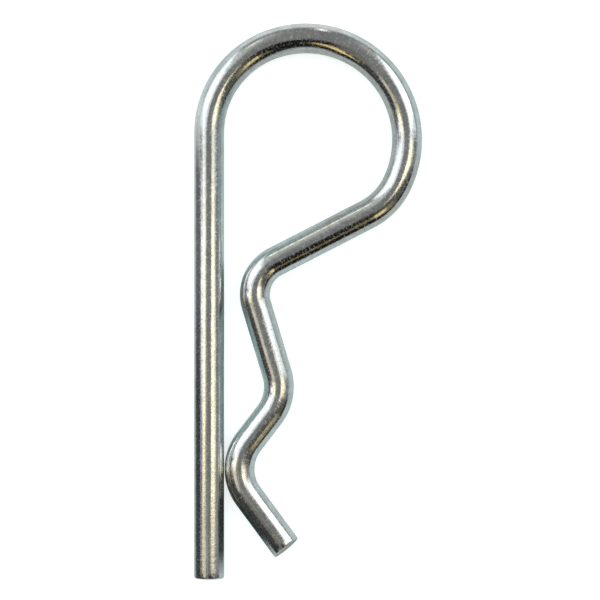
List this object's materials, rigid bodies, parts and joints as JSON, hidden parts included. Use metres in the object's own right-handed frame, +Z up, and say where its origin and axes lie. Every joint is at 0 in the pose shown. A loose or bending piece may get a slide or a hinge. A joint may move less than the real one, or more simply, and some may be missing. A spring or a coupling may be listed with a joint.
{
  "type": "hitch pin clip",
  "caption": "R shaped spring clip bent from one length of round zinc plated wire, with a straight leg, a round pull loop and a waved arm with a flared tip.",
  "frame": {"origin": "middle of the clip's footprint, on the surface that it lies on", "axes": "+Y along the straight leg, from its free end towards the loop; +X from the straight leg towards the waved arm; +Z up, square to the plane that the wire is bent in"},
  "size_m": [0.0304, 0.074, 0.004],
  "materials": {
    "zinc_plated_wire": "bright zinc plate over drawn spring wire"
  },
  "bodies": {
    "root": {"wire_clip": "zinc_plated_wire"}
  },
  "joints": []
}
